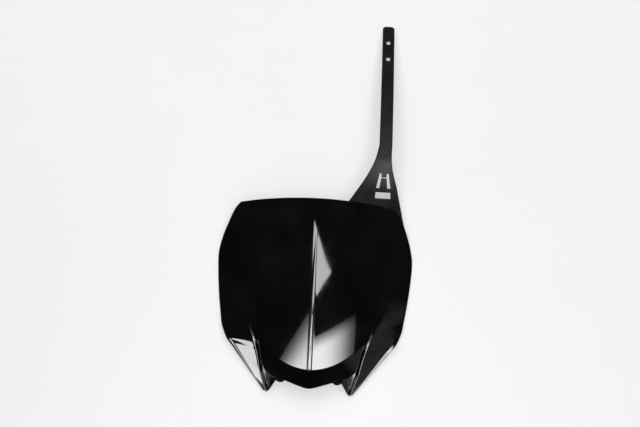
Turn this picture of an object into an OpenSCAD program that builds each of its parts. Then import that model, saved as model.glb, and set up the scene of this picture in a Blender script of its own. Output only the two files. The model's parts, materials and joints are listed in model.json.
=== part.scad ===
// Front number board of an off-road motorcycle, moulded in one piece with its strap.
// It lies on its back: +Z points out of the face and +Y runs up the board to the strap's tip.

/* [Shield] */
// Width across the widest point of the sides
shield_w = 240; // [230:1:256]
// Height on the centreline, from the chin's tip to the top edge
shield_h = 235; // [225:1:250]
// Height of the widest point above the chin's tip
widest_y = 160; // [150:1:168]
// Width just under the top corners
shoulder_w = 209; // [200:1:218]
// Width at the lower corners of the cheeks
corner_w = 222; // [212:1:230]
// Drop of the top edge from the centre to the corners
top_drop = 9; // [4:1:14]
// Wall of the moulding
wall = 2.6; // [2:0.1:3.2]

/* [Face] */
// Height of the face's highest point above the sides' rims
crown_h = 55; // [45:1:65]
// Height above the chin's tip of that highest point
crown_y = 120; // [100:1:140]
// Fall of the centreline from there to the chin's crease
chin_fall = 12; // [8:0.5:16]
// Fall of the centreline from there to the top edge
top_fall = 5.5; // [2:0.5:10]
// Slope of each half beside the centreline, in degrees
prow_angle = 7.5; // [4:0.5:12]
// Radius that softens the centreline at the top edge
prow_soft = 26; // [10:1:40]

/* [Spine] */
// Width of the spine at its foot
spine_w = 6.4; // [4:0.2:8]
// Height of the spine over the face
spine_h = 1.5; // [0.8:0.1:2.4]
// Height above the chin's tip at which the spine fades out
spine_top = 200; // [170:1:215]
// Length over which it rises to its full width
spine_rise = 85; // [60:1:110]

/* [Chin] */
// Height of the crease above the chin's tip
chin_h = 23.6; // [18:0.2:28]
// Slope of the band below the crease, in degrees
chin_angle = 38; // [30:1:44]
// Half width of the chin, from the tip to the notch
notch_x = 38; // [34:0.5:41]
// Height of the notch above the chin's tip
notch_y = 12; // [10:0.5:14]

/* [Cheeks] */
// Half distance between the tips of the ears
ear_x = 51.5; // [49:0.5:54]
// Length of the ears below the chin's tip
ear_drop = 7; // [3:0.5:10]
// Half distance between the crests where the grooves start
kink_x = 71; // [69:0.5:73]
// Height of that place above the chin's tip
kink_y = 60; // [58:0.5:62]
// Half distance between the upper ends of the crests
crest_top_x = 92; // [89:0.5:95]
// Height of the upper ends of the crests
crest_top_y = 111; // [107:1:117]
// Height of the crest over the face where the groove starts
crest_lift = 2.6; // [1.5:0.1:3.5]
// Depth of the grooves under the crests
groove_d = 5.5; // [3:0.25:6.5]
// Width of the bevelled rim at the lower corners
bevel_w = 4.6; // [3:0.2:6]

/* [Strap] */
// Distance from the chin's tip to the strap's tip
strap_reach = 452; // [430:1:480]
// Width of the strap along its parallel part
strap_w = 15.8; // [14:0.2:18]
// Width of the strap at its tip
strap_tip_w = 14.2; // [12:0.2:15]
// Thickness of the strap
strap_t = 3; // [2.4:0.1:4]
// Step from the face down to the root of the strap
strap_step = 2; // [1.6:0.1:2.4]
// Height of the strap's arch above the rims
arch_h = 36; // [30:1:44]
// Sideways place of the strap's parallel part
strap_x = 78; // [74:0.5:82]
// Slope of the flat with the holes, in degrees
hole_slope = 18; // [12:1:20]
// Diameter of the two holes
hole_d = 5.5; // [4.5:0.1:6.5]
// Distance between the holes
hole_pitch = 20.4; // [16:0.2:24]
// Distance from the outer hole to the strap's tip
hole_end = 20.5; // [18:0.5:24]

/* [Buckle] */
// Height of the slot's lower edge above the chin's tip
slot_y = 239.5; // [238:0.5:243]
// Length of the slot along the strap
slot_l = 7.5; // [5:0.5:9]
// Width of the slot across the strap
slot_w = 19.5; // [17:0.5:21]
// Length of the bar between slot and window
bar_l = 5; // [3:0.5:7]
// Length of the window along the strap
window_l = 18; // [15:0.5:20]
// Width of the window beside the bar
window_w = 18; // [16:0.5:19]
// Width of the window at its far end
window_top_w = 11; // [10:0.5:12]
// Width of the tongue beside the bar
tongue_w = 10; // [8:0.5:12]
// Width of the tongue at its free end
tongue_top_w = 6.6; // [5:0.2:7]
// Length of the tongue
tongue_l = 12.4; // [10:0.2:13]
// Gap between the tongue and the stop above it
tongue_gap = 0.9; // [0.7:0.1:1.5]

/* [Lugs] */
// Half distance between the lower lugs
lug_x = 35; // [32:0.5:36]
// Height of the lugs' centres above the chin's tip
lug_y = 15; // [13:0.5:18]
// Diameter of the lugs
lug_d = 14; // [12:0.5:16]
// Diameter of the holes in the lugs
lug_bore_d = 6; // [5:0.1:8]
// Depth of the holes in the lugs
lug_bore_l = 12; // [8:0.5:14]

/* [Hidden] */
round_fn = 48;
half_w = shield_w / 2;
chin_tan = tan(chin_angle);
prow_tan = tan(prow_angle);
// The crease's height grows with the square of the distance from the centreline
kink_in = kink_x - 6.5;
crease_bend = (kink_y - 3 - chin_h) / (kink_in * kink_in);
chin_fall_rate = chin_fall / pow(crown_y - chin_h, 2);
top_fall_rate = top_fall / pow(shield_h - crown_y, 2);

function mix(a, b, t) = a + (b - a) * t;
function part_of(t, from, to) = min(1, max(0, (t - from) / (to - from)));
function ease(t) = t * t * (3 - 2 * t);
function unit(v) = v / max(norm(v), 0.000001);

// A smooth curve through the points of a list, at a place counted in points
function through(pts, t) =
    let (last = len(pts) - 1, k = max(0, min(last - 1, floor(t))), f = t - k)
    let (b = pts[k], c = pts[k + 1])
    let (a = k > 0 ? pts[k - 1] : 2 * b - c, d = k + 2 <= last ? pts[k + 2] : 2 * c - b)
    0.5 * (2 * b + (c - a) * f + (2 * a - 5 * b + 4 * c - d) * f * f + (3 * b - a - 3 * c + d) * f * f * f);

// The centreline, seen from the side
function crown(y) = crown_h - (y < crown_y ? chin_fall_rate : top_fall_rate) * pow(y - crown_y, 2);

// The two halves fall away from the centreline, softly at the top edge
function prow(x, y) =
    let (r = mix(0.5, prow_soft, part_of(y, 60, shield_h)))
    prow_tan * (sqrt(x * x + r * r) - r);
side_curve = (crown(widest_y) - prow(half_w, widest_y)) / (half_w * half_w);
function face_z(x, y) = crown(y) - prow(x, y) - side_curve * x * x;

// The shield: the face, with the chin's band folded down along the crease
function crease_y(x) = chin_h + crease_bend * x * x;
function shield_z(x, y) =
    let (fold = crease_y(x))
    y < fold ? face_z(x, fold) - chin_tan * (fold - y) : face_z(x, y);

// Rows run across the board. Rows 0 to 6 cover the chin and the ears, and rows 7 to 15 the rest
FOLD = 6;
TOP = 15;
row_centre = [0, 4, 8, 12, 16, 20, chin_h, 36, 55, 80, 110, widest_y - 13.5,
              mix(widest_y, shield_h, 0.18), mix(widest_y, shield_h, 0.53),
              mix(widest_y, shield_h, 0.82), shield_h];
function row_bend(k) = mix(kink_y - 24, -top_drop, (k - 7) / 8);
function row_y(k) = row_centre[k] + row_bend(k);

// The outline of the sides above the lower corners
shoulder_y = row_y(14);
function side_x(y) =
    y < widest_y
        ? mix(corner_w / 2, half_w, 1 - pow((widest_y - y) / (widest_y - row_y(7)), 1.8))
        : mix(half_w, shoulder_w / 2, (y - widest_y) / (shoulder_y - widest_y));

// Edge of the shield: round the chin's corner, up the groove, and on inside the face
shield_edge = concat(
    [[notch_x, notch_y], [notch_x + 6.5, notch_y + 1], [notch_x + 13, notch_y + 5],
     [kink_in - 8, 23.5], [kink_in - 4.8, 33], [kink_in - 2.7, 44.5], [kink_in, kink_y - 3]],
    [for (k = [7:TOP]) [k < 10 ? mix(kink_in, kink_in + 10, (k - 6) / 3) : 0.66 * rim_x(k), 0]]);
function rim_x(k) = k == TOP ? shoulder_w / 2 - 8.5 : side_x(row_y(k));

// Crest of the cheek, from the ear's tip to the place where it fades into the face
function crest_x(y) = kink_x + (y - kink_y) * (crest_top_x - kink_x) / (crest_top_y - kink_y);
crest = concat(
    [[ear_x - 1, -ear_drop + 0.6], [ear_x + 1.5, 0], [ear_x + 4.6, 9], [ear_x + 8.2, 20],
     [kink_x - 8.2, 31], [kink_x - 5, 43.5], [kink_x, kink_y]],
    [for (k = [7:TOP]) [k < 10 ? crest_x(row_y(k)) : 0.83 * rim_x(k), 0]]);

// Foot of the wall under the crest, and the lower edge of the step beside the shield
foot = concat(
    [[ear_x - 4, -ear_drop + 3], [ear_x - 1.2, 3.5], [ear_x + 2, 13.5], [kink_in - 6.6, 23.5],
     [kink_in - 3.4, 33], [kink_in - 1.2, 44.3], [kink_x - 2.4, kink_y - 1.5]],
    [for (k = [7:TOP]) [k < 10 ? crest[k].x - 1.7 : 0.775 * rim_x(k), 0]]);
function off_edge(k) = let (d = unit(shield_edge[k + 1] - shield_edge[max(0, k - 1)])) 0.9 * [d.y, -d.x];
step = concat(
    [for (k = [0:5]) shield_edge[k] + off_edge(k)],
    [[kink_x - 4.5, kink_y - 2.4]],
    [for (k = [7:TOP]) [k < 10 ? mix(shield_edge[k].x, foot[k].x, 0.5) : 0.72 * rim_x(k), 0]]);

// The rim runs straight from the ear's tip to the lower corner, then up the side
ear_tip = [ear_x + 2.8, -ear_drop + 1.8];
low_corner = [corner_w / 2 - 6.5, kink_y - 3.5];
rim = concat(
    [for (k = [0:5]) mix(ear_tip, low_corner, k / 5.55)],
    [low_corner],
    [for (k = [7:TOP]) [rim_x(k), 0]]);
RAILS = [shield_edge, step, foot, crest, rim];

// Place of a rail on a row: above the fold each row is one flat curve across the board
function row_curve(u, k) = mix(ease(min(1, u / 0.7)), u * u, part_of(k, 7, 12));
function rail_at(rail, t) =
    let (pts = [for (k = [0:TOP]) k <= FOLD ? rail[k]
        : [rail[k].x, row_centre[k] + row_bend(k) * row_curve(rail[k].x / rim_x(k), k)]])
    through(pts, t);

rim_low_z = face_z(low_corner.x, low_corner.y) - 3;
crest_kink_z = face_z(kink_x, kink_y) + crest_lift;
ear_z = 1.2;

// Height of the crest: a straight line down the ear, and a fading lift above the kink
function crest_z(p) =
    p.y < kink_y
        ? mix(ear_z + 1.4, crest_kink_z, (p.y + ear_drop) / (kink_y + ear_drop))
        : face_z(p.x, p.y) + crest_lift * (1 - ease(part_of(p.y, kink_y, crest_top_y)));

function groove(t) = 0.4 + groove_d * pow(sin(180 * part_of(t, 0, FOLD)), 0.7);
function foot_z(p, c, t) = t < FOLD ? min(crest_z(c) - groove(t), face_z(p.x, p.y)) : face_z(p.x, p.y);
function step_z(p, f_z, t) =
    t < FOLD ? min(f_z + 6 * (1 - ease(part_of(t, 0, 3))), shield_z(p.x, p.y) - 0.3) : face_z(p.x, p.y);
function rim_z(p, t) =
    t < FOLD ? mix(ear_z, rim_low_z, t / FOLD)
        : face_z(p.x, p.y) - 3 * (1 - ease(part_of(t, FOLD, 9)));

// Width of the bevel along the rim
function bevel(t) =
    t < FOLD ? mix(1, bevel_w, ease(t / FOLD)) : mix(bevel_w, 2, ease(part_of(t, FOLD, 9.5)));

function on_shield(p, t) = [p.x, p.y, t < FOLD ? shield_z(p.x, p.y) : face_z(p.x, p.y)];

// Lower edge of the shield. The rows between it and the crease all end on it
lower_edge = [for (t = [0:0.25:FOLD]) rail_at(shield_edge, t)];
function lower_edge_y(x) = x < notch_x
    ? notch_y * (sqrt(pow(x / notch_x, 2) + 0.0225) - 0.15) / 0.861
    : lookup(x, lower_edge);
function chin_row(x, u, up) =
    mix(lower_edge_y(x), crease_y(x), up * (1 - pow(u, 5)) / (1 - up * pow(u, 5)));

// One row of the right half, from the centreline out
FACE_STEPS = 8;
CHEEK_STEPS = 4;
function half_row(t) =
    let (a = rail_at(shield_edge, t), s = rail_at(step, t), f = rail_at(foot, t))
    let (c = rail_at(crest, t), r = rail_at(rim, t), r2 = rail_at(rim, t + 0.05), r1 = rail_at(rim, t - 0.05))
    let (centre = through([for (v = row_centre) [v, 0]], t).x)
    let (along = unit(t < FOLD - 1 ? low_corner - ear_tip : t > TOP - 0.1 ? [-1, 0.12] : r2 - r1))
    let (b = r + bevel(t) * [-along.y, along.x])
    let (rise = ease(part_of(centre, spine_top, spine_top - spine_rise)))
    let (foot_half = mix(1.2, spine_w / 2, rise), lift = t < FOLD - 0.01 ? 0 : spine_h * rise)
    let (fz = foot_z(f, c, t), rz = rim_z(r, t), chamfer = rz + 1.15 * (bevel(t) - 0.6))
    let (bz = mix(chamfer, face_z(b.x, b.y), ease(part_of(t, FOLD, 9.5))))
    let (cz = crest_z(c), flat = 1 - ease(part_of(t, 8.2, 10)))
    concat(
        [on_shield([0.3 * foot_half, centre], t) + [0, 0, lift]],
        [for (i = [0:FACE_STEPS])
            let (x = mix(foot_half, a.x, pow(i / FACE_STEPS, 1.1)), u = x / a.x)
            on_shield([x, t < FOLD ? chin_row(x, u, t / FOLD) : mix(centre, a.y, u * u)], t)],
        [[s.x, s.y, step_z(s, fz, t)], [f.x, f.y, fz]],
        [for (i = [0:CHEEK_STEPS - 1])
            let (u = i / CHEEK_STEPS, p = mix(c, b, u))
            [p.x, p.y, mix(i == 0 ? cz : face_z(p.x, p.y), mix(cz, bz, u), flat)]],
        [[b.x, b.y, bz], [r.x, r.y, rz]]);

ROWS = concat([for (k = [0:FOLD * 2]) k / 2], [for (k = [1:(TOP - FOLD) * 3]) FOLD + k / 3]);
front = [for (t = ROWS) half_row(t)];
LAST_ROW = len(ROWS) - 1;
LAST = len(front[0]) - 1;

// The back of the moulding lies one wall under the front, square to it
function shield_normal(p, t) =
    let (e = 0.2, q = on_shield(p, t))
    unit([q.z - on_shield(p + [e, 0], t).z, q.z - on_shield(p + [0, e], t).z, e]);
function outward(t) =
    let (d = unit(rail_at(shield_edge, min(TOP, t + 0.1)) - rail_at(shield_edge, max(0, t - 0.1))))
    [d.y, -d.x, 0];
function heading(a, b, c) = unit(unit(b - a) + unit(c - b));
EDGE = FACE_STEPS + 1;
function grid_normal(j, i) =
    let (p = front[j][i])
    let (across = heading(front[j][i - 1], p, front[j][min(LAST, i + 1)]))
    let (up = heading(front[max(0, j - 1)][i], p, front[min(LAST_ROW, j + 1)][i]))
    unit(cross(across, up));
function normal_at(j, i) =
    let (t = ROWS[j], p = [front[j][i].x, front[j][i].y])
    i < EDGE || (i == EDGE && t < FOLD) ? shield_normal(p, t)
        : i == EDGE + 1 && t < FOLD ? unit([0, 0, 1] + outward(t))
        : grid_normal(j, i);
function wall_at(t) = mix(0.3 * wall, wall, ease(part_of(t, 0, 3)));
back = [for (j = [0:LAST_ROW]) [for (i = [0:LAST]) front[j][i] - wall_at(ROWS[j]) * normal_at(j, i)]];
lowest = min([for (row = back) for (p = row) p.z]);

function both_sides(rows) = [for (row = rows) concat(
    [for (i = [LAST:-1:0]) [-row[i].x, row[i].y, row[i].z]], row)];

// A closed shell from two grids of the same size. Cells are split the same way on both halves
module shell(top, bottom) {
    n = len(top[0]);
    m = len(top);
    count = n * m;
    cells = [for (j = [0:m - 2]) for (i = [0:n - 2]) [j * n + i, i >= n / 2]];
    faces = concat(
        [for (c = cells) each c[1]
            ? [[c[0], c[0] + n, c[0] + 1], [c[0] + 1, c[0] + n, c[0] + n + 1]]
            : [[c[0], c[0] + n + 1, c[0] + 1], [c[0], c[0] + n, c[0] + n + 1]]],
        [for (c = cells) let (b = c[0] + count) each c[1]
            ? [[b, b + 1, b + n], [b + 1, b + n + 1, b + n]]
            : [[b, b + 1, b + n + 1], [b, b + n + 1, b + n]]],
        [for (i = [0:n - 2]) each [[i, i + 1, count + i], [i + 1, count + i + 1, count + i]]],
        [for (i = [0:n - 2]) let (e = (m - 1) * n + i)
            each [[e, count + e, e + 1], [e + 1, count + e, count + e + 1]]],
        [for (j = [0:m - 2]) let (e = j * n)
            each [[e, count + e, e + n], [e + n, count + e, count + e + n]]],
        [for (j = [0:m - 2]) let (e = j * n + n - 1)
            each [[e, e + n, count + e], [e + n, count + e + n, count + e]]]);
    polyhedron(points = concat([for (row = top) each row], [for (row = bottom) each row]), faces = faces);
}

module shield() {
    shell(both_sides(front), both_sides(back));
}

// Sides of the strap in plan, by distance from the chin's tip
hole_y = strap_reach - hole_end;
flat_start = hole_y - hole_pitch - 9;
flat_end = hole_y + 9;
neck_y = shield_h + 71;
root_y = shield_h - 19;
function strap_centre(y) = strap_x - 3.5 * part_of(y, neck_y, strap_reach);
function strap_half(y) = mix(strap_w, strap_tip_w, part_of(y, neck_y, strap_reach)) / 2;
neck_left = [for (x = [48, 37.5, 25, 15.7, 11, 7.9]) [strap_x - x, 0]];
function strap_left(y) = y < neck_y
    ? through(neck_left, 5 * part_of(y, root_y, neck_y)).x
    : strap_centre(y) - strap_half(y);
function side_line(y) = mix(half_w, shoulder_w / 2, (y - widest_y) / (shoulder_y - widest_y)) - 1.2;
function strap_right(y) =
    mix(side_line(min(y, neck_y)), strap_centre(y) + strap_half(y), ease(part_of(y, neck_y - 56, neck_y)));

// Its height: on the back of the shield, over an arch, down the flat with the holes, and down at the tip
arch_y = neck_y - 6;
flat_tan = tan(hole_slope);
arch_rate = flat_tan / (2 * (flat_start - arch_y));
function arch(y) = arch_h - arch_rate * pow(min(max(y, arch_y), flat_start) - arch_y, 2)
    - flat_tan * max(0, min(y, flat_end) - flat_start)
    - tip_tan * max(0, y - flat_end);
tip_tan = 0.5;
function strap_z(x, y) =
    mix(face_z(x, y) - strap_step, arch(y), ease(part_of(y, shield_h + 1, neck_y - 14)));

// One row of the strap at a place along it, with its edges eased down
function strap_row(y, half_cut) =
    let (l = strap_left(y) + half_cut, r = strap_right(y) - half_cut, e = min(1.4, 0.3 * (r - l)))
    let (xs = [l, l + e, mix(l, r, 0.3), (l + r) / 2, mix(l, r, 0.7), r - e, r])
    [for (i = [0:6]) [xs[i], y, strap_z(xs[i], y) - (i == 0 || i == 6 ? 1 : 0)]];
tip_r = strap_tip_w / 2;
strap_rows = concat(
    [for (i = [0:17]) strap_row(mix(root_y, neck_y, i / 17), 0)],
    [for (i = [1:8]) strap_row(mix(neck_y, flat_start, i / 8), 0)],
    [strap_row(flat_end, 0)],
    [for (a = [0, 25, 45, 65, 82]) strap_row(strap_reach - tip_r * (1 - sin(a)), tip_r * (1 - cos(a)))]);
under = [for (row = strap_rows) [for (p = row) [p.x, p.y, strap_z(p.x, p.y) - strap_t / cos(hole_slope)]]];

module strap_hole(y) {
    translate([strap_centre(y), y, arch(y)])
        rotate([-hole_slope, 0, 0])
            cylinder(d = hole_d, h = 4 * strap_t, center = true, $fn = round_fn);
}

// An upright trapezoid from one distance to another, with its width at each
module taper(from, to, w_from, w_to) {
    polygon([[-w_from / 2, from], [w_from / 2, from], [w_to / 2, to], [-w_to / 2, to]]);
}

// The slot and the window of the buckle. The tongue stands on the bar between them, below a stop
module buckle_cuts() {
    window_y = slot_y + slot_l + bar_l;
    tongue_y = window_y + tongue_l;
    far_y = window_y + window_l;
    translate([strap_x, 0, 0])
        linear_extrude(height = 2 * crown_h) {
            taper(slot_y, slot_y + slot_l, slot_w, slot_w - 1);
            difference() {
                taper(window_y, far_y, window_w, window_top_w);
                taper(window_y - 1, tongue_y, tongue_w, tongue_top_w);
                taper(tongue_y + tongue_gap, far_y + 1, tongue_top_w - 0.6, tongue_top_w);
            }
        }
}

module strap() {
    difference() {
        shell(strap_rows, under);
        strap_hole(hole_y);
        strap_hole(hole_y - hole_pitch);
        buckle_cuts();
    }
}

// A lug rises from the table plane into the back of the chin's band, cut to the band's slope
module lug() {
    rise_x = (shield_z(lug_x + 3, lug_y) - shield_z(lug_x - 3, lug_y)) / 6;
    rise_y = (shield_z(lug_x, lug_y + 3) - shield_z(lug_x, lug_y - 3)) / 6;
    seat = unit([-rise_x, -rise_y, 1]);
    difference() {
        intersection() {
            translate([lug_x, lug_y, lowest])
                cylinder(d = lug_d, h = crown_h, $fn = round_fn);
            translate([lug_x, lug_y, shield_z(lug_x, lug_y)])
                rotate([0, acos(seat.z), atan2(seat.y, seat.x)])
                    translate([-crown_h, -crown_h, -2 * crown_h - wall / 2])
                        cube(2 * crown_h);
        }
        translate([lug_x, lug_y, lowest - 1])
            cylinder(d = lug_bore_d, h = lug_bore_l + 1, $fn = round_fn);
    }
}

low_y = min([for (row = concat(front, back)) for (p = row) p.y]);
module number_board() {
    color([0.07, 0.07, 0.075])
        translate([0, -(low_y + strap_reach) / 2, -lowest]) {
            shield();
            strap();
            lug();
            mirror([1, 0, 0])
                lug();
        }
}

number_board();
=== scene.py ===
import json
import math
from types import SimpleNamespace

import bpy
import numpy as np
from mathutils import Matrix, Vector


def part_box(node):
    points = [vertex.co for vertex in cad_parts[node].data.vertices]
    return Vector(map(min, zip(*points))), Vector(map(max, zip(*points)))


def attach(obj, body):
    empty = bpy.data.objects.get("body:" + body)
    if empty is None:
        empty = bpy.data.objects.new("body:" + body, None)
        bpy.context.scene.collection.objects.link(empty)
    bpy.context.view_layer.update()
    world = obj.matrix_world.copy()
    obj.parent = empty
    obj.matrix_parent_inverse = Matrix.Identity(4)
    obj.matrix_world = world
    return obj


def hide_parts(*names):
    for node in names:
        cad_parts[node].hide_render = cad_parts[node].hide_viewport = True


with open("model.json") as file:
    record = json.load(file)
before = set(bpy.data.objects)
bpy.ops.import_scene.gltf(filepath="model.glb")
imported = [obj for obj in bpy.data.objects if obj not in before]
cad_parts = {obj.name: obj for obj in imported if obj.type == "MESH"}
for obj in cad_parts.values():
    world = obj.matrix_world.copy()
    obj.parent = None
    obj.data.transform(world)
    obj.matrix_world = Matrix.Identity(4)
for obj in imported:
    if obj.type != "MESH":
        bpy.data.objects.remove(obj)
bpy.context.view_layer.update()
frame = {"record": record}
nodeLow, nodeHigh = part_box("number_board")
mounts = {mount["name"]: mount["pos_m"] for mount in frame["record"]["mounts"]}
print("frame loaded")


def linear(hexColour):
    # sRGB hex to linear RGBA
    parts = [int(hexColour[i:i + 2], 16) / 255 for i in (1, 3, 5)]
    return [c / 12.92 if c <= 0.04045 else ((c + 0.055) / 1.055) ** 2.4 for c in parts] + [1.0]


def mix(a, b, t):
    return a + (b - a) * t


def partOf(t, start, end):
    return min(1.0, max(0.0, (t - start) / (end - start)))


def ease(t):
    return t * t * (3 - 2 * t)


def unit(v):
    return v / max(np.linalg.norm(v), 1e-9)


def through(points, place):
    # Catmull-Rom curve through the points, at a place counted in points
    last = len(points) - 1
    k = max(0, min(last - 1, math.floor(place)))
    f = place - k
    b, c = points[k], points[k + 1]
    a = points[k - 1] if k > 0 else 2 * b - c
    d = points[k + 2] if k + 2 <= last else 2 * c - b
    return 0.5 * (2 * b + (c - a) * f + (2 * a - 5 * b + 4 * c - d) * f * f
                  + (3 * b - a - 3 * c + d) * f ** 3)


# The shield: sizes in millimetres, angles in degrees
shield = dict(
    # the outline, and how far the rim's corners stand in from the widths given for them
    width=240, height=233, widestY=158, shoulderW=203, cornerW=222, topDrop=9, cornerIn=6.5, wall=2.6,
    # the face: its highest point, how far it falls below and above, and the keel down its middle
    crownH=54.7, crownY=118, chinFall=12, topFall=5.5, prowAngle=7.5, prowSoft=40, ridgeStart=95,
    # the spine, which comes up to its full height over spineRise below its top
    spineW=6.4, spineH=1.4, spineFlat=0.45, spineTop=198, spineRise=140,
    # the folded chin, flatter towards its sides, with its blunt tip and a notch on each side
    chinH=24.6, chinAngle=31, chinEase=0.45, notchX=38, notchY=11.5, tipSoft=0.15, tipReach=0.861,
    # a cheek: the ear's tip, the kink and the crest's top, then the groove inside and the bevel outside
    earX=52.5, earDrop=9.5, earZ=3, kinkX=71, kinkY=59.5, crestTopX=92, crestTopY=110, crestLift=1.8,
    browSoft=5, grooveW=6.5, grooveD=5.5, stepOut=0.9, stepH=12,
    bevelW=4.6, bevelSlope=0.36, cornerLift=3.5,
)
size = SimpleNamespace(**shield)
fold, top = 6, 15                      # rows 0 to 6 cover the chin and ears, 7 to 15 the face
flatFrom = 10                          # from this row up the cheek lies in the face
# Across a half row: the face's edge, the groove's two lower corners, the crest, the bevel, the rim
column = SimpleNamespace(edge=9, step=10, foot=11, crest=12, bevel=16, rim=17)
halfW = size.width / 2
chinTan = math.tan(math.radians(size.chinAngle))
prowTan = math.tan(math.radians(size.prowAngle))
kinkIn = size.kinkX - size.grooveW
creaseBend = (size.kinkY - 3 - size.chinH) / kinkIn ** 2
chinFallRate = size.chinFall / (size.crownY - size.chinH) ** 2
topFallRate = size.topFall / (size.height - size.crownY) ** 2


def crown(y):
    return size.crownH - (chinFallRate if y < size.crownY else topFallRate) * (y - size.crownY) ** 2


def prow(x, y):
    r = mix(0.8, size.prowSoft, ease(partOf(y, size.ridgeStart, size.height)))
    return prowTan * (math.hypot(x, r) - r)


sideCurve = (crown(size.widestY) - prow(halfW, size.widestY)) / halfW ** 2


def faceZ(x, y):
    return crown(y) - prow(x, y) - sideCurve * x * x


def creaseY(x):
    return size.chinH + creaseBend * x * x


def shieldZ(x, y):
    # The chin folds down most on the centreline
    crease = creaseY(x)
    slope = chinTan * (1 - size.chinEase * (x / kinkIn) ** 2)
    return faceZ(x, crease) - slope * (crease - y) if y < crease else faceZ(x, y)


upTo = size.height - size.widestY
# Where each row crosses the centreline
rowCentre = [0, 4, 8, 12, 16, 20, size.chinH, 36, 55, 80, 110, size.widestY - 13.5]
rowCentre += [size.widestY + share * upTo for share in (0.18, 0.53, 0.82)] + [size.height]


def rowBend(k):
    return mix(size.kinkY - 24, -size.topDrop, (k - 7) / 8)


def rowY(k):
    return rowCentre[k] + rowBend(k)


shoulderY = rowY(14)


def sideX(y):
    if y < size.widestY:
        return mix(size.cornerW / 2, halfW, 1 - ((size.widestY - y) / (size.widestY - rowY(7))) ** 1.8)
    return mix(halfW, size.shoulderW / 2, ((y - size.widestY) / (shoulderY - size.widestY)) ** 1.5)


def rimX(k):
    return size.shoulderW / 2 - size.cornerIn if k == top else sideX(rowY(k))


def crestX(y):
    return size.kinkX + (y - size.kinkY) * (size.crestTopX - size.kinkX) / (size.crestTopY - size.kinkY)


def rail(low, highX):
    # Points up one side of the board: given ones to the fold, then one on each row's flat curve
    points = [np.array(p, float) for p in low]
    for k in range(fold + 1, top + 1):
        u = highX(k) / rimX(k)
        curve = mix(ease(min(1.0, u / 0.7)), u * u, partOf(k, 7, 12))
        points.append(np.array([highX(k), rowCentre[k] + rowBend(k) * curve]))
    return points


def upCheek(share):
    # A height between the ear's tip and the kink
    return mix(-size.earDrop, size.kinkY, share)


edgeLow = [(size.notchX, size.notchY), (size.notchX + 6.5, size.notchY + 1),
           (size.notchX + 13, size.notchY + 5), (kinkIn - 8, upCheek(0.46)),
           (kinkIn - 4.8, upCheek(0.6)), (kinkIn - 2.7, upCheek(0.77)), (kinkIn, size.kinkY - 3)]
footLow = [(size.earX - 4, upCheek(0.045)), (size.earX - 1.2, upCheek(0.157)),
           (size.earX + 2, upCheek(0.306)), (kinkIn - 6.6, upCheek(0.455)),
           (kinkIn - 3.4, upCheek(0.597)), (kinkIn - 1.2, upCheek(0.766)),
           (size.kinkX - 2.4, size.kinkY - 1.5)]
crestLow = [(size.earX - 1, upCheek(0.009)), (size.earX + 1.5, upCheek(0.104)),
            (size.earX + 4.6, upCheek(0.239)), (size.earX + 8.2, upCheek(0.403)),
            (size.kinkX - 8.2, upCheek(0.567)), (size.kinkX - 5, upCheek(0.754)),
            (size.kinkX, size.kinkY)]
earTip = np.array([size.earX + 2.8, -size.earDrop + 1.8])
lowCorner = np.array([size.cornerW / 2 - size.cornerIn, size.kinkY - 3.5])


def edgeX(k):
    return mix(kinkIn, kinkIn + 10, (k - fold) / 3) if k < flatFrom else 0.66 * rimX(k)


def footX(k):
    return crestX(rowY(k)) - 1.7 if k < flatFrom else 0.775 * rimX(k)


def stepLow():
    # The groove's floor starts just outside the shield's edge, square to it
    points = [np.array(p, float) for p in edgeLow] + [np.array([edgeX(fold + 1), 0.0])]
    out = []
    for k in range(fold):
        d = unit(points[k + 1] - points[max(0, k - 1)])
        out.append(points[k] + size.stepOut * np.array([d[1], -d[0]]))
    return out + [(size.kinkX - 4.5, size.kinkY - 2.4)]


edgeRail = rail(edgeLow, edgeX)
stepRail = rail(stepLow(), lambda k: (edgeX(k) + footX(k)) / 2 if k < flatFrom else 0.72 * rimX(k))
footRail = rail(footLow, footX)
crestRail = rail(crestLow, lambda k: crestX(rowY(k)) if k < flatFrom else 0.83 * rimX(k))
rimRail = rail([mix(earTip, lowCorner, k / fold) for k in range(fold + 1)], rimX)
centreRail = [np.array([float(v)]) for v in rowCentre]
rimLowZ = faceZ(*lowCorner) + size.cornerLift
crestKinkZ = faceZ(size.kinkX, size.kinkY) + size.crestLift


def softMin(a, b, reach):
    # The lower of two heights, blended where they are less than the reach apart
    h = partOf(b - a, -reach, reach)
    return mix(b, a, h) - reach / 2 * h * (1 - h)


def crestZ(p):
    # Straight up the ear, then over a soft brow and along the face
    slope = (crestKinkZ - size.earZ - 1.4) / (size.kinkY + size.earDrop)
    ramp = size.earZ + 1.4 + slope * (p[1] + size.earDrop)
    lift = size.crestLift * (1 - ease(partOf(p[1], size.kinkY + 15, size.crestTopY)))
    return softMin(ramp, faceZ(*p) + lift, size.browSoft)


def footZ(p, c, t):
    groove = 0.4 + size.grooveD * math.sin(math.pi * partOf(t, 0, fold)) ** 0.7
    return min(crestZ(c) - groove, faceZ(*p)) if t < fold else faceZ(*p)


def stepZ(p, lowZ, t):
    if t < fold:
        return min(lowZ + size.stepH * (1 - ease(partOf(t, 0, 3))), shieldZ(*p) - 0.3)
    return faceZ(*p)


def bevelWidth(t):
    if t < fold:
        return mix(1, size.bevelW, ease(t / fold))
    return mix(size.bevelW, 2, ease(partOf(t, fold, 9.5)))


lowerEdge = [through(edgeRail, t) for t in np.arange(0, fold + 0.01, 0.25)]
lowerEdgeX = [p[0] for p in lowerEdge]
lowerEdgeY = [p[1] for p in lowerEdge]


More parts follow.
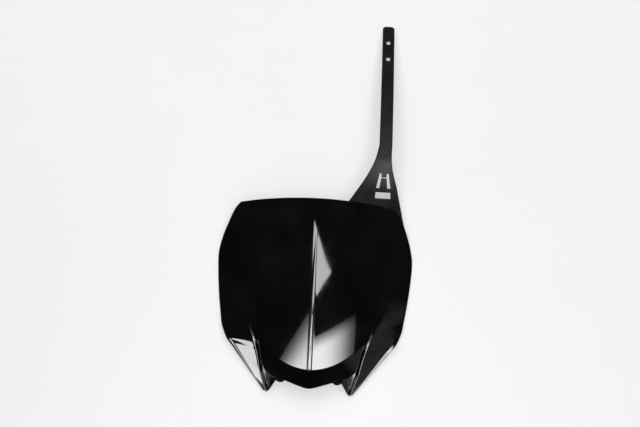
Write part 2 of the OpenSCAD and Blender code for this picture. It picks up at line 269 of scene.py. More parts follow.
def lowerY(x):
    # The board's lower edge: from the blunt tip to the notch, then along the shield's edge
    if x < size.notchX:
        soft = size.tipSoft
        return size.notchY * (math.sqrt((x / size.notchX) ** 2 + soft ** 2) - soft) / size.tipReach
    return float(np.interp(x, lowerEdgeX, lowerEdgeY))


def chinRow(x, u, up):
    return mix(lowerY(x), creaseY(x), up * (1 - u ** 5) / (1 - up * u ** 5))


def halfRow(t, spineCuts, faceCuts, cheekCuts):
    # One row of the right half, from the centreline to the rim. Each point is x, y, z and the
    # column that it stands in: 0 to 1 the spine, 1 to 9 the face, 9 to 12 the groove, 12 to 17 the
    # cheek with its bevel.
    a, s, f = through(edgeRail, t), through(stepRail, t), through(footRail, t)
    c, r = through(crestRail, t), through(rimRail, t)
    centre = float(through(centreRail, t)[0])
    along = unit(through(rimRail, min(top, t + 0.05)) - through(rimRail, max(0, t - 0.05)))
    along = unit(mix(along, np.array([0.08, 1]), ease(partOf(t, top - 0.8, top))))
    b = r + bevelWidth(t) * np.array([-along[1], along[0]])
    rise = ease(partOf(size.spineTop - centre, 0, size.spineRise))
    halfSpine = mix(1.2, size.spineW / 2, rise)
    lift = 0 if t < fold - 0.01 else size.spineH * rise
    points = []
    for w in spineCuts:                # w runs from -0.5 on the centreline to 1 at the spine's foot
        flat = size.spineFlat
        x = flat * halfSpine * (w + 0.5) * 2 if w < 0 else mix(flat, 1, w) * halfSpine
        z = shieldZ(x, centre) if t < fold else faceZ(x, centre)
        points.append([x, centre, z + lift * (1 - ease(max(0.0, w))), w])
    for i in faceCuts:
        x = mix(halfSpine, a[0], (i / (column.edge - 1)) ** 1.1)
        u = x / a[0]
        y = chinRow(x, u, t / fold) if t < fold else mix(centre, a[1], u * u)
        points.append([x, y, shieldZ(x, y) if t < fold else faceZ(x, y), 1 + i])
    fz = footZ(f, c, t)
    rz = rimZ(r, t)
    fade = ease(partOf(t, 7.5, 9.5))
    bz = mix(rz + size.bevelSlope * bevelWidth(t), faceZ(*b), fade)
    cz, straight = crestZ(c), 1 - ease(partOf(t, 8.2, flatFrom))
    points += [[s[0], s[1], stepZ(s, fz, t), column.step], [f[0], f[1], fz, column.foot]]
    for i in cheekCuts:
        u = i / (column.bevel - column.crest)
        x, y = mix(c, b, u)
        z = mix(cz if i == 0 else faceZ(x, y), mix(cz, bz, u), straight)
        points.append([x, y, z, column.crest + i])
    points += [[b[0], b[1], bz, column.bevel], [r[0], r[1], rz, column.rim]]
    return np.array(points)


def rounded(before, corner, after, reach, steps):
    # Points on a small arc that cuts a corner, or on one arc at each corner of a line of them
    def towards(point):
        away = point - corner
        length = np.linalg.norm(away[..., :3], axis=-1, keepdims=True)
        return corner + away * np.minimum(reach / np.maximum(length, 1e-6), 0.45)

    start, end = towards(before), towards(after)
    shares = [i / steps for i in range(steps + 1)]
    return [(1 - q) ** 2 * start + 2 * q * (1 - q) * corner + q * q * end for q in shares]


# The mesh: cuts across and along, and the small arcs that take the edges off
detail = dict(
    # how finely each part of a row is drawn, and how many rows stand between two of the drawing's
    spineSteps=4, flankSteps=8, faceSteps=40, cheekSteps=8, arcSteps=4, rowsEach=10,
    # how far each edge's arc reaches back from its corner, in millimetres
    edgeReach={column.edge: 1.1, column.step: 0.35, column.foot: 0.5, column.crest: 1.0,
               column.bevel: 0.9},
    creaseReach=1.3, creaseStep=0.05, outerReach=0.6, outerSteps=4,
)


def rimRowZ(k):
    if k < fold:
        return mix(size.earZ, rimLowZ, k / fold)
    return faceZ(*through(rimRail, k)) + size.cornerLift * (1 - ease(partOf(k, fold, 9)))


rimRise = [np.array([rimRowZ(k)]) for k in range(flatFrom)]


def rimZ(p, t):
    # Up the ear to the lower corner, smoothly over it, and then along the face
    if t < 8:
        return float(through(rimRise, t)[0])
    return faceZ(*p) + size.cornerLift * (1 - ease(partOf(t, fold, 9)))


def denseHalfRow(t):
    faceWide, cheekWide = column.edge - 1, column.bevel - column.crest
    spineCuts = [-0.5 + 0.5 * i / detail["spineSteps"] for i in range(detail["spineSteps"])]
    spineCuts += [i / detail["flankSteps"] for i in range(detail["flankSteps"])]
    faceCuts = [faceWide * i / detail["faceSteps"] for i in range(detail["faceSteps"] + 1)]
    cheekCuts = [cheekWide * i / detail["cheekSteps"] for i in range(detail["cheekSteps"])]
    raw = halfRow(t, spineCuts, faceCuts, cheekCuts)
    row = []
    for i, p in enumerate(raw):
        place = round(float(p[3]), 6)
        if place in detail["edgeReach"]:
            reach = detail["edgeReach"][place]
            row += rounded(raw[i - 1], p, raw[i + 1], reach, detail["arcSteps"])
        else:
            row.append(p)
    return np.array([np.append(p, t) for p in row])


def coarseBack():
    # The solid's own back: one wall under its coarse front, square to it
    rows = [k / 2 for k in range(2 * fold + 1)]
    rows += [fold + k / 3 for k in range(1, 3 * (top - fold) + 1)]
    cuts = ([0], range(column.edge), range(column.bevel - column.crest))
    front = [halfRow(t, *cuts)[:, :3] for t in rows]
    last, lastRow = len(front[0]) - 1, len(rows) - 1

    def onShield(x, y, t):
        return shieldZ(x, y) if t < fold else faceZ(x, y)

    def shieldNormal(p, t):
        e, z = 0.2, onShield(p[0], p[1], t)
        return unit(np.array([z - onShield(p[0] + e, p[1], t), z - onShield(p[0], p[1] + e, t), e]))

    def heading(a, b, c):
        return unit(unit(b - a) + unit(c - b))

    back = []
    for j, t in enumerate(rows):
        row = []
        thickness = mix(0.3 * size.wall, size.wall, ease(partOf(t, 0, 3)))
        for i, p in enumerate(front[j]):
            if i < column.edge or (i == column.edge and t < fold):
                normal = shieldNormal(p, t)
            elif i == column.step and t < fold:
                d = unit(through(edgeRail, t + 0.1) - through(edgeRail, max(0, t - 0.1)))
                normal = unit(np.array([d[1], -d[0], 1.0]))
            else:
                across = heading(front[j][i - 1], p, front[j][min(last, i + 1)])
                up = heading(front[max(0, j - 1)][i], p, front[min(lastRow, j + 1)][i])
                normal = unit(np.cross(across, up))
            row.append(p - thickness * normal)
        back.append(row)
    return np.array(rows), np.array(back)


mirror = np.array([-1.0, 1.0, 1.0])    # takes a point to the board's other half


def sampleBack(rows, back, across, t):
    # The coarse back at a column and a row place; its centreline lies between two mirrored columns
    j = min(len(rows) - 2, max(0, int(np.searchsorted(rows, t, side="right")) - 1))
    v = (t - rows[j]) / (rows[j + 1] - rows[j])
    i = max(0, min(back.shape[1] - 2, math.floor(across)))
    if across < 0:
        lower, upper = [mix(r[0] * mirror, r[0], across + 1) for r in (back[j], back[j + 1])]
    else:
        lower, upper = [mix(r[i], r[i + 1], across - i) for r in (back[j], back[j + 1])]
    return mix(lower, upper, v)


coarseRows, coarse = coarseBack()
lowestPoint = coarse[:, :, 2].min()
frameShift = nodeLow[1] * 1000 - crestLow[0][1]    # the ears' tips are at the node's low end


def toFrame(points):
    # Millimetres on the drawing to metres in the frame
    return (np.asarray(points, float) + np.array([0, frameShift, -lowestPoint])) / 1000


def closedGrid(front, back):
    # A closed skin from two grids of points: the front, the back and the edge between them
    m, n = front.shape[:2]
    count = m * n
    faces = []
    for j in range(m - 1):
        for i in range(n - 1):
            c = j * n + i
            faces.append((c, c + 1, c + n + 1, c + n))
            faces.append((count + c, count + c + n, count + c + n + 1, count + c + 1))
    for i in range(n - 1):
        low, high = i, (m - 1) * n + i
        faces.append((low, low + count, low + count + 1, low + 1))
        faces.append((high, high + 1, high + count + 1, high + count))
    for j in range(m - 1):
        left, right = j * n, j * n + n - 1
        faces.append((left, left + n, left + count + n, left + count))
        faces.append((right, right + count, right + count + n, right + n))
    return np.concatenate([front.reshape(-1, 3), back.reshape(-1, 3)]), faces


def easedEnd(upper, lower, reach, steps):
    # Turns the last line of points of both grids into small arcs that face each other
    return (np.concatenate([upper[:-1], rounded(upper[-2], upper[-1], lower[-1], reach, steps)]),
            np.concatenate([lower[:-1], rounded(lower[-2], lower[-1], upper[-1], reach, steps)]))


def easedEdges(upper, lower, reach, steps):
    # A moulding has no sharp edge: all four sides of a closed grid are rounded over
    for axis in (0, 1):
        upper, lower = np.swapaxes(upper, 0, axis), np.swapaxes(lower, 0, axis)
        upper, lower = easedEnd(upper, lower, reach, steps)
        upper, lower = easedEnd(upper[::-1], lower[::-1], reach, steps)
        upper, lower = np.swapaxes(upper[::-1], 0, axis), np.swapaxes(lower[::-1], 0, axis)
    return upper, lower


def newPiece(name, points, faces):
    mesh = bpy.data.meshes.new(name)
    mesh.from_pydata([tuple(p) for p in points], [], faces)
    mesh.validate()
    piece = bpy.data.objects.new(name, mesh)
    bpy.context.scene.collection.objects.link(piece)
    return piece


def buildShield():
    each = detail["rowsEach"]
    places = [k / each for k in range(each * top + 1)]
    rows = [denseHalfRow(t) for t in places]
    crease = places.index(fold)
    # The chin's crease is cut by a small arc too, on the face's columns
    near = [denseHalfRow(fold + detail["creaseStep"] * k) for k in (-2, -1, 0, 1, 2)]
    for i, corner in enumerate(rows[crease]):
        if corner[3] < column.edge + 0.5:
            arc = rounded(rows[crease - 2][i], corner, rows[crease + 2][i], detail["creaseReach"],
                          len(near) - 1)
            for k, point in enumerate(arc):
                near[k][i] = point
    rows[crease - 1:crease + 2] = near
    half = np.array(rows)
    backHalf = np.array([[sampleBack(coarseRows, coarse, p[3], p[4]) for p in row] for row in half])
    front = np.concatenate([half[:, :0:-1, :3] * mirror, half[:, :, :3]], axis=1)
    back = np.concatenate([backHalf[:, :0:-1] * mirror, backHalf], axis=1)
    points, faces = closedGrid(*easedEdges(front, back, detail["outerReach"], detail["outerSteps"]))
    return newPiece("shieldShell", toFrame(points), faces)


shieldShell = buildShield()
print("shield built,", len(shieldShell.data.polygons), "faces")


# The strap: sizes in millimetres
strapSizes = dict(
    reach=nodeHigh[1] * 1000 - frameShift, width=15.8, tipWidth=14.2, thick=3, stepDown=2,
    middleX=78, tipShift=3.5,          # the band leans a little to the left on its way to the tip
    rootIn=29, neckOut=69, archH=36, archIn=6, sideLean=0.25, neckBlend=56,
    holeSlope=18, holeD=5.5, holePitch=20.4, holeEnd=20.5, holeFlat=9, tipTan=0.5,
    edgeRound=1.4, edgeFall=1.0, cornerR=3.4,
    slotY=237, slotL=7.5, slotW=19.5, slotTaper=0.5, barL=5, windowL=18, windowW=18, windowTopW=11,
    tongueW=10, tongueTopW=6.6, tongueL=12.4, tongueGap=0.9,
    neckRows=60, bandRows=80, cornerStep=6,    # how finely it is drawn; the last is in degrees
)
strap = SimpleNamespace(**strapSizes)
holeY = strap.reach - strap.holeEnd
flatStart = holeY - strap.holePitch - strap.holeFlat
flatEnd = holeY + strap.holeFlat
neckY = size.height + strap.neckOut
rootY = size.height - strap.rootIn
# How far the neck's left edge stands from the band's middle, at even steps up the neck
neckLeft = [np.array([strap.middleX - x]) for x in (57, 46.5, 33.8, 21.6, 12.4, 7.9)]
archY = neckY - strap.archIn
flatTan = math.tan(math.radians(strap.holeSlope))
archRate = flatTan / (2 * (flatStart - archY))


def strapCentre(y):
    return strap.middleX - strap.tipShift * partOf(y, neckY, strap.reach)


def strapHalf(y):
    return mix(strap.width, strap.tipWidth, partOf(y, neckY, strap.reach)) / 2


def strapLeft(y):
    if y < neckY:
        return float(through(neckLeft, (len(neckLeft) - 1) * partOf(y, rootY, neckY))[0])
    return strapCentre(y) - strapHalf(y)


def sideLine(y):
    # Carries the shield's side on, a hair inside it, to the neck
    return sideX(rootY) - 0.2 - strap.sideLean * (y - rootY)


def strapRight(y):
    blend = ease(partOf(y, neckY - strap.neckBlend, neckY))
    return mix(sideLine(min(y, neckY)), strapCentre(y) + strapHalf(y), blend)


def arch(y):
    # The strap's height above the table: level, then bent down to the flat with the holes
    bend = min(max(y, archY), flatStart) - archY
    return (strap.archH - archRate * bend ** 2 - flatTan * max(0, min(y, flatEnd) - flatStart)
            - strap.tipTan * max(0, y - flatEnd))


def strapZ(x, y):
    # Just under the face at its root, and on its own arch beyond the board
    blend = ease(partOf(y, size.height + 1, neckY - 14))
    return mix(faceZ(x, y) - strap.stepDown, arch(y), blend)


def strapRow(y, cut):
    # Across the strap, with its two upper edges rounded over
    left, right = strapLeft(y) + cut, strapRight(y) - cut
    e = min(strap.edgeRound, 0.3 * (right - left))
    angles = [math.pi / 2 * i / 5 for i in range(6)]
    turn = [(1 - math.cos(angle), 1 - math.sin(angle)) for angle in angles]
    stations = [(left + e * a, strap.edgeFall * b) for a, b in turn]
    stations += [(mix(left + e, right - e, i / 14), 0) for i in range(1, 14)]
    stations += [(right - e * a, strap.edgeFall * b) for a, b in reversed(turn)]
    upper = [(x, y, strapZ(x, y) - fall) for x, fall in stations]
    thick = strap.thick / math.cos(math.radians(strap.holeSlope))
    return upper, [(x, y, strapZ(x, y) - thick) for x, _ in stations]


def buildStrap():
    neck, band = strap.neckRows, strap.bandRows
    rows = [strapRow(mix(rootY, neckY, i / neck), 0) for i in range(neck + 1)]
    rows += [strapRow(mix(neckY, flatEnd, i / band), 0) for i in range(1, band + 1)]
    for degrees in range(0, 90, strap.cornerStep):
        angle = math.radians(degrees)
        y = strap.reach - strap.cornerR * (1 - math.sin(angle))
        rows.append(strapRow(y, strap.cornerR * (1 - math.cos(angle))))
    upper = np.array([r[0] for r in rows])
    lower = np.array([r[1] for r in rows])
    points, faces = closedGrid(upper, lower)
    return newPiece("strapBody", toFrame(points), faces)


def newPrism(name, points):
    # A closed form between two outlines: the first half of the points and the second
    n = len(points) // 2
    faces = [tuple(reversed(range(n))), tuple(range(n, 2 * n))]
    faces += [(i, (i + 1) % n, n + (i + 1) % n, n + i) for i in range(n)]
    return newPiece(name, toFrame(points), faces)


def straightCutter(name, outline, low, high):
    return newPrism(name, [(x, y, z) for z in (low, high) for x, y in outline])


def slotOutline():
    x, y, w = strap.middleX, strap.slotY, strap.slotW / 2
    topW, topY = w - strap.slotTaper, y + strap.slotL
    return [(x - w, y), (x + w, y), (x + topW, topY), (x - topW, topY)]


def windowOutline():
    # Two side gaps and the thin gap between the tongue's end and the stop above it
    x = strap.middleX
    low = strap.slotY + strap.slotL + strap.barL
    high, end = low + strap.windowL, low + strap.tongueL
    tongueLow = mix(strap.tongueW, strap.tongueTopW, 1 / (strap.tongueL + 1)) / 2
    half = [(tongueLow, low), (strap.windowW / 2, low), (strap.windowTopW / 2, high),
            (strap.tongueTopW / 2 - 0.05, high), (strap.tongueTopW / 2 - 0.3, end + strap.tongueGap)]
    tongueEnd = strap.tongueTopW / 2
    right = [(x + a, b) for a, b in half]
    left = [(x - a, b) for a, b in reversed(half)]
    return right + left + [(x - tongueEnd, end), (x + tongueEnd, end)]


def roundCutter(name, x, y, z, slope, radius, length, sides=48):
    # A cylinder whose axis leans with the flat that it goes through
    angles = [2 * math.pi * i / sides for i in range(sides)]
    lean = math.radians(slope)
    points = []
    for h in (-length / 2, length / 2):
        for angle in angles:
            across, along = radius * math.cos(angle), radius * math.sin(angle)
            points.append((x + across, y + along * math.cos(lean) + h * math.sin(lean),
                           z - along * math.sin(lean) + h * math.cos(lean)))
    return newPrism(name, points)


def combine(piece, other, operation):
    # Exact boolean, applied at once; the other object is used up
    change = piece.modifiers.new(operation, "BOOLEAN")
    change.operation = operation
    change.solver = "EXACT"
    change.object = other
    applyModifiers(piece)
    bpy.data.objects.remove(other)


def applyModifiers(piece):
    depsgraph = bpy.context.evaluated_depsgraph_get()
    mesh = bpy.data.meshes.new_from_object(piece.evaluated_get(depsgraph))
    piece.modifiers.clear()
    old = piece.data
    piece.data = mesh
    bpy.data.meshes.remove(old)


strapBody = buildStrap()
for hole in (holeY, holeY - strap.holePitch):
    cutter = roundCutter("holeCutter", strapCentre(hole), hole, arch(hole), strap.holeSlope,
                         strap.holeD / 2, 4 * strap.thick)
    combine(strapBody, cutter, "DIFFERENCE")
for outline in (slotOutline(), windowOutline()):
    combine(strapBody, straightCutter("buckleCutter", outline, 0, 2 * size.crownH), "DIFFERENCE")
print("strap built,", len(strapBody.data.polygons), "faces")

# The two lower lugs: short posts with a blind hole from below
lugSizes = dict(
    x=35, y=mounts["lug_holes"][1] * 1000 - frameShift, diameter=14, holeD=6, holeL=12,
    edge=0.6, holeEdge=0.3, sides=64,
)
lugs = SimpleNamespace(**lugSizes)


def revolve(name, centreX, centreY, profile):
    # A closed form turned about an upright axis, from a profile of radius and height
    points, faces = [], []
    n = lugs.sides
    for radius, z in profile:
        for i in range(n):
            a = 2 * math.pi * i / n
            points.append((centreX + radius * math.cos(a), centreY + radius * math.sin(a), z))
    for k in range(len(profile) - 1):
        for i in range(n):
            j = (i + 1) % n
            faces.append((k * n + i, k * n + j, (k + 1) * n + j, (k + 1) * n + i))
    faces.append(tuple(reversed(range(n))))
    faces.append(tuple((len(profile) - 1) * n + i for i in range(n)))
    return newPiece(name, toFrame(points), faces)


def buildLug(side):
    # From the middle of the hole's floor, down its wall, round the foot and up inside the shell
    foot, middle = lowestPoint, 0.4    # the two flat ends are closed at a small radius
    outer, hole, bevel = lugs.diameter / 2, lugs.holeD / 2, lugs.holeEdge
    profile = [(middle, foot + lugs.holeL), (hole, foot + lugs.holeL), (hole, foot + bevel),
               (hole + bevel, foot)]
    profile += [(outer - lugs.edge, foot), (outer - 0.2, foot + 0.2), (outer, foot + lugs.edge)]
    highest = min(shieldZ(lugs.x + dx * outer, lugs.y + dy * outer)
                  for dx, dy in ((1, 0), (-1, 0), (0, 1), (0, -1))) - size.wall / 2
    profile += [(outer, highest), (middle, highest)]
    lug = revolve("lugPost", side * lugs.x, lugs.y, profile)
    # The post's head is cut to the slope of the chin's band
    for vertex in lug.data.vertices:
        x, y = vertex.co.x * 1000, vertex.co.y * 1000 - frameShift
        if vertex.co.z * 1000 + lowestPoint > highest - 0.01:
            vertex.co.z = (shieldZ(abs(x), y) - size.wall / 2 - lowestPoint) / 1000
    return lug


for side in (-1, 1):
    combine(shieldShell, buildLug(side), "UNION")
print("lugs joined,", len(shieldShell.data.polygons), "faces")


def nodeAdder(tree):
    # Returns a function that adds one node: its inputs are links or plain values, by name or number,
    # and its stops are a colour ramp's places with a grey or a colour each
    def add(kind, inputs=None, stops=(), **settings):
        node = tree.nodes.new(kind)
        for name, value in settings.items():
            if hasattr(node, name):
                setattr(node, name, value)
            else:
                node.inputs[name.replace("_", " ")].default_value = value
        for name, source in (inputs or {}).items():
            if isinstance(source, bpy.types.NodeSocket):
                tree.links.new(source, node.inputs[name])
            else:
                node.inputs[name].default_value = source
        for i, (place, value) in enumerate(stops):
            node.color_ramp.elements[i].position = place
            node.color_ramp.elements[i].color = value if isinstance(value, list) else [value] * 3 + [1]
        return node
    return add


def newMaterial(name):
    material = bpy.data.materials.new(name)
    material.use_nodes = True
    material.node_tree.nodes.clear()
    return material, nodeAdder(material.node_tree)


glossFinish = dict(
    dark="#080808", light="#101010",   # pigment streaks of the melt, hardly apart
    ior=1.49, roughLow=0.035, roughHigh=0.075,
    flowMm=38,                         # length of the melt's flow marks
    peelMm=5, peelDepth=0.000002,      # faint orange peel of a polished tool
    scratchMm=1.1, scratchLean=24, scratchRough=0.05, wornEdge="#2a2a2b",
)


def glossPolypropylene():
    # Moulded in a polished tool: mirror-like, with a very faint orange peel, a few hairlines from
    # wiping, and edges that are a touch greyer where the gloss has gone
    material, add = newMaterial("mouldedGlossPolypropylene")
    place = add("ShaderNodeTexCoord").outputs["Object"]
    flow = add("ShaderNodeTexNoise", {"Vector": place}, Scale=1000 / glossFinish["flowMm"],
               Detail=3, Roughness=0.5)
    colour = add("ShaderNodeValToRGB", {"Fac": flow.outputs["Fac"]},
                 ((0.35, linear(glossFinish["dark"])), (0.7, linear(glossFinish["light"]))))
    bend = add("ShaderNodeNewGeometry").outputs["Pointiness"]
    edge = add("ShaderNodeValToRGB", {"Fac": bend}, ((0.53, 0), (0.62, 1)))
    worn = add("ShaderNodeMix", {"Factor": edge.outputs["Color"], 6: colour.outputs["Color"],
                                 7: linear(glossFinish["wornEdge"])}, data_type="RGBA")
    stretch = add("ShaderNodeMapping", {"Vector": place}, Scale=(1, 0.03, 1),
                  Rotation=(0, 0, math.radians(glossFinish["scratchLean"])))
    hairs = add("ShaderNodeTexNoise", {"Vector": stretch.outputs["Vector"]},
                Scale=1000 / glossFinish["scratchMm"], Detail=1)
    hairline = add("ShaderNodeValToRGB", {"Fac": hairs.outputs["Fac"]}, ((0.68, 0), (0.74, 1)))
    rough = add("ShaderNodeMapRange", {"Value": flow.outputs["Fac"]}, To_Min=glossFinish["roughLow"],
                To_Max=glossFinish["roughHigh"], From_Min=0.3, From_Max=0.7)
    duller = add("ShaderNodeMath", {0: hairline.outputs["Color"], 1: edge.outputs["Color"]},
                 operation="MAXIMUM")
    roughness = add("ShaderNodeMath", {0: duller.outputs["Value"], 1: glossFinish["scratchRough"],
                                       2: rough.outputs["Result"]}, operation="MULTIPLY_ADD")
    peel = add("ShaderNodeTexNoise", {"Vector": place}, Scale=1000 / glossFinish["peelMm"], Detail=1)
    bump = add("ShaderNodeBump", {"Height": peel.outputs["Fac"]}, Strength=1.0,
               Distance=glossFinish["peelDepth"])
    shader = add("ShaderNodeBsdfPrincipled",
                 {"Base Color": worn.outputs[2], "Roughness": roughness.outputs["Value"],
                  "Normal": bump.outputs["Normal"]}, IOR=glossFinish["ior"])
    add("ShaderNodeOutputMaterial", {"Surface": shader.outputs["BSDF"]})
    return material


satinFinish = dict(
    dark="#0e0e0d", light="#191918",
    ior=1.49, roughLow=0.46, roughHigh=0.58,
    grainMm=0.9, grainDepth=0.00003,   # the spark-eroded grain is 0.1 mm; drawn coarser so it shows
    cloudMm=16, specular=0.13,         # the grain's pits trap much of the sheen
)


def satinPolypropylene():
    # The same plastic off a spark-eroded tool face: a soft even sheen with a fine pebble grain
    material, add = newMaterial("mouldedSatinPolypropylene")
    place = add("ShaderNodeTexCoord").outputs["Object"]
    cloud = add("ShaderNodeTexNoise", {"Vector": place}, Scale=1000 / satinFinish["cloudMm"], Detail=3)
    colour = add("ShaderNodeValToRGB", {"Fac": cloud.outputs["Fac"]},
                 ((0.3, linear(satinFinish["dark"])), (0.7, linear(satinFinish["light"]))))
    rough = add("ShaderNodeMapRange", {"Value": cloud.outputs["Fac"]}, To_Min=satinFinish["roughLow"],
                To_Max=satinFinish["roughHigh"], From_Min=0.3, From_Max=0.7)
    grain = add("ShaderNodeTexVoronoi", {"Vector": place}, Scale=1000 / satinFinish["grainMm"])
    bump = add("ShaderNodeBump", {"Height": grain.outputs["Distance"]}, Strength=1.0,
               Distance=satinFinish["grainDepth"])
    shader = add("ShaderNodeBsdfPrincipled",
                 {"Base Color": colour.outputs["Color"], "Roughness": rough.outputs["Result"],
                  "Normal": bump.outputs["Normal"]}, IOR=satinFinish["ior"],
                 Specular_IOR_Level=satinFinish["specular"])
    add("ShaderNodeOutputMaterial", {"Surface": shader.outputs["BSDF"]})
    return material


def finishBoard():
    # One moulding: the strap grows out of the shell's back. What faces down is satin
    gloss, satin = glossPolypropylene(), satinPolypropylene()
    for piece, order in ((shieldShell, (gloss, satin)), (strapBody, (satin,))):
        piece.data.materials.clear()
        for material in order:
            piece.data.materials.append(material)
    for face in shieldShell.data.polygons:
        face.material_index = int(face.normal.z < -0.1)
    combine(shieldShell, strapBody, "UNION")
    board = shieldShell
    board.name = board.data.name = "number_board_skin"
    return board


board = finishBoard()
board.data.shade_smooth()
board.data.set_sharp_from_angle(angle=math.radians(38))
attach(board, "root")
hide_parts("number_board")
print("board finished,", len(board.data.polygons), "faces")

# The picture: the camera looks straight down, turned a little to the left
view = dict(middle=(0.0025, -0.0058), height=2.2, across=0.792, turn=3.2, sensor=36)
camera = bpy.data.objects.new("camera", bpy.data.cameras.new("camera"))
bpy.context.scene.collection.objects.link(camera)
camera.location = (*view["middle"], view["height"])
camera.rotation_euler = (0, 0, math.radians(view["turn"]))
camera.data.sensor_width = view["sensor"]
camera.data.lens = view["sensor"] * view["height"] / view["across"]
camera.data.clip_end = 20
bpy.context.scene.camera = camera

# Softboxes hang level at one height, facing down, and show only in the gloss; a wide wash over them
# lights the table. Each is given by its middle, its size, its turn and its radiance in the middle,
# and by how much of its half width fades out towards the edges. A glow says where along X or Y the
# cloth is at its brightest, where it is dimmest, and how dim it is there.
panelHeight = 1.05                     # metres, as all that follows
softboxes = dict(
    overhead=dict(middle=(0.215, -0.10), size=(0.62, 0.43), turn=-3.5, radiance=11.5, fade=0.02,
                  pointed=True),
    strip=dict(middle=(0.08, -0.42), size=(0.12, 0.42), turn=0, radiance=24, fade=0.1),
    chinRight=dict(middle=(0.635, -0.951), size=(1.31, 0.95), turn=12, radiance=21, fade=0.05,
                   glow=dict(X=(0.38, 1.0, 0.06), Y=(0.82, 1.0, 0.18))),
    chinLeft=dict(middle=(-0.382, -0.847), size=(1.15, 0.70), turn=44, radiance=18, fade=0.05,
                  glow=dict(Y=(0.5, 1.0, 0.07))),
    rimGlint=dict(middle=(0.95, -1.25), size=(0.40, 0.40), turn=0, radiance=26, fade=0.4),
    tipGlow=dict(middle=(0.13, 1.72), size=(0.70, 0.45), turn=0, radiance=6, fade=0.6),
)


def addLight(name, sizes, radiance, location, rotation):
    data = bpy.data.lights.new(name, "AREA")
    data.shape = "RECTANGLE"
    data.size, data.size_y = sizes
    data.energy = radiance * math.pi * sizes[0] * sizes[1]
    lamp = bpy.data.objects.new(name, data)
    lamp.location = location
    lamp.rotation_euler = rotation
    bpy.context.scene.collection.objects.link(lamp)
    return lamp


def fadeEdges(lamp, fade, glow=None, pointed=False):
    # The cloth of a softbox is dimmer towards its frame; a pointed one is flagged down to one corner
    lamp.data.use_nodes = True
    tree = lamp.data.node_tree
    tree.nodes.clear()
    add = nodeAdder(tree)
    place = add("ShaderNodeSeparateXYZ", {"Vector": add("ShaderNodeNewGeometry").outputs["Parametric"]})
    away = {}                          # from the middle, along each axis: 0.5 at the frame
    shades = []                        # what share of the light each effect lets through
    for axis in ("X", "Y"):
        offset = add("ShaderNodeMath", {0: place.outputs[axis], 1: 0.5}, operation="SUBTRACT")
        away[axis] = add("ShaderNodeMath", {0: offset.outputs["Value"]},
                         operation="ABSOLUTE").outputs["Value"]
        shades.append(add("ShaderNodeMapRange", {"Value": away[axis]}, interpolation_type="SMOOTHSTEP",
                          From_Min=0.5, From_Max=0.5 - fade / 2))
    for axis, (bright, dim, low) in (glow or {}).items():
        shades.append(add("ShaderNodeMapRange", {"Value": place.outputs[axis]},
                          interpolation_type="SMOOTHSTEP", From_Min=dim, From_Max=bright, To_Min=low))
    if pointed:
        double = add("ShaderNodeMath", {0: away["Y"], 1: 2, 2: place.outputs["X"]},
                     operation="MULTIPLY_ADD")
        shades.append(add("ShaderNodeMapRange", {"Value": double.outputs["Value"]},
                          interpolation_type="SMOOTHSTEP", From_Min=1.0, From_Max=0.94))
    level = shades[0].outputs["Result"]
    for shade in shades[1:]:
        level = add("ShaderNodeMath", {0: level, 1: shade.outputs["Result"]},
                    operation="MULTIPLY").outputs["Value"]
    shine = add("ShaderNodeEmission", {"Strength": level})
    add("ShaderNodeOutputLight", {"Surface": shine.outputs["Emission"]})


# Two more stand on the table's edge, facing the board: a bright narrow one for the left ear's cheek,
# and a dim one at the right
sidePanels = dict(
    left=dict(direction=-134.8, distance=1.98, height=0.21, size=(0.16, 0.42), radiance=14, fade=0.02),
    right=dict(direction=-31, distance=1.2, height=0.30, size=(0.96, 0.60), radiance=0.32, fade=0.35),
)
for name, panel in sidePanels.items():
    turn = math.radians(panel["direction"])
    place = (panel["distance"] * math.cos(turn), panel["distance"] * math.sin(turn), panel["height"])
    standing = addLight(name + "Panel", panel["size"], panel["radiance"], place,
                        (math.radians(90), 0, turn + math.pi / 2))
    fadeEdges(standing, panel["fade"])
    standing.visible_diffuse = False

for name, box in softboxes.items():
    lamp = addLight(name, box["size"], box["radiance"], (*box["middle"], panelHeight),
                    (0, 0, math.radians(box["turn"])))
    fadeEdges(lamp, box["fade"], box.get("glow"), box.get("pointed", False))
    lamp.visible_diffuse = False

washBox = dict(size=(2.6, 2.6), radiance=2.8, middle=(0, 0.7, 1.9), lean=-18)
wash = addLight("wash", washBox["size"], washBox["radiance"], washBox["middle"],
                (math.radians(washBox["lean"]), 0, 0))
wash.visible_glossy = False

plainWhite = linear("#f5f3f4")         # what the eye sees far off, on the table and beyond it
laminate = dict(dark="#f3f1f2", light="#f7f5f6", cloudMm=1000 / 3, rough=0.6, side=12.0,
                plainFrom=0.75, plainTo=1.5, plainLeast=0.45)


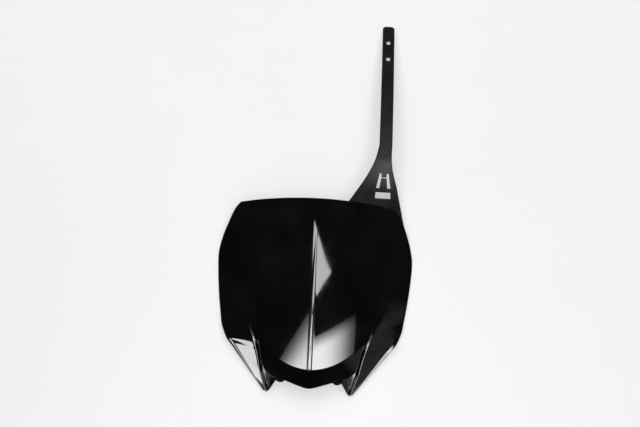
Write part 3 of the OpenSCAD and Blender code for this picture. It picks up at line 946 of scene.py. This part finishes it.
def tableTop():
    # White melamine laminate, pressed smooth: an even pale sheet with a faint cloud in its paper. Well
    # away from the board it keeps its colour to the eye whatever the light, and near it about half, so
    # that the shadows stay as faint as the photo's
    material, add = newMaterial("whiteLaminate")
    place = add("ShaderNodeTexCoord").outputs["Object"]
    cloud = add("ShaderNodeTexNoise", {"Vector": place}, Scale=1000 / laminate["cloudMm"], Detail=2)
    colour = add("ShaderNodeValToRGB", {"Fac": cloud.outputs["Fac"]},
                 ((0.3, linear(laminate["dark"])), (0.7, linear(laminate["light"]))))
    near = add("ShaderNodeBsdfPrincipled", {"Base Color": colour.outputs["Color"]},
               Roughness=laminate["rough"])
    far = add("ShaderNodeEmission", Strength=1.0, Color=plainWhite)
    distance = add("ShaderNodeVectorMath", {0: place}, operation="LENGTH")
    beyond = add("ShaderNodeMapRange", {"Value": distance.outputs["Value"]},
                 interpolation_type="SMOOTHSTEP", From_Min=laminate["plainFrom"],
                 From_Max=laminate["plainTo"])
    rays = add("ShaderNodeLightPath")
    seen = add("ShaderNodeMath", {0: rays.outputs["Is Camera Ray"], 1: rays.outputs["Is Glossy Ray"]},
               operation="MAXIMUM")
    seen = add("ShaderNodeMath", {0: seen.outputs["Value"], 1: rays.outputs["Is Transmission Ray"]},
               operation="MAXIMUM")
    plain = add("ShaderNodeMath", {0: beyond.outputs["Result"], 1: laminate["plainLeast"]},
                operation="MAXIMUM")
    share = add("ShaderNodeMath", {0: seen.outputs["Value"], 1: plain.outputs["Value"]},
                operation="MULTIPLY")
    surface = add("ShaderNodeMixShader", {0: share.outputs["Value"], 1: near.outputs["BSDF"],
                                          2: far.outputs["Emission"]})
    add("ShaderNodeOutputMaterial", {"Surface": surface.outputs["Shader"]})
    return material


bpy.ops.mesh.primitive_plane_add(size=laminate["side"], location=(0, 0, 0))
floor = bpy.context.object
floor.name = "table"
floor.data.materials.append(tableTop())

world = bpy.data.worlds.new("studio")
bpy.context.scene.world = world
world.use_nodes = True
world.node_tree.nodes.clear()
addWorld = nodeAdder(world.node_tree)
# Pale round the horizon, dark overhead, as in a studio with pale walls and no ceiling light
skyPlace = addWorld("ShaderNodeTexCoord").outputs["Generated"]
skyHeight = addWorld("ShaderNodeSeparateXYZ", {"Vector": skyPlace})
skyColour = addWorld("ShaderNodeValToRGB", {"Fac": skyHeight.outputs["Z"]},
                     ((0.02, linear("#85878b")), (0.11, linear("#1c1d1f"))))
skySeen = addWorld("ShaderNodeMix", {"Factor": addWorld("ShaderNodeLightPath").outputs["Is Camera Ray"],
                                     6: skyColour.outputs["Color"], 7: plainWhite}, data_type="RGBA")
sky = addWorld("ShaderNodeBackground", {"Color": skySeen.outputs[2]}, Strength=1.0)
addWorld("ShaderNodeOutputWorld", {"Surface": sky.outputs["Background"]})

bpy.context.scene.view_settings.view_transform = "Standard"
print("stage and lights set")
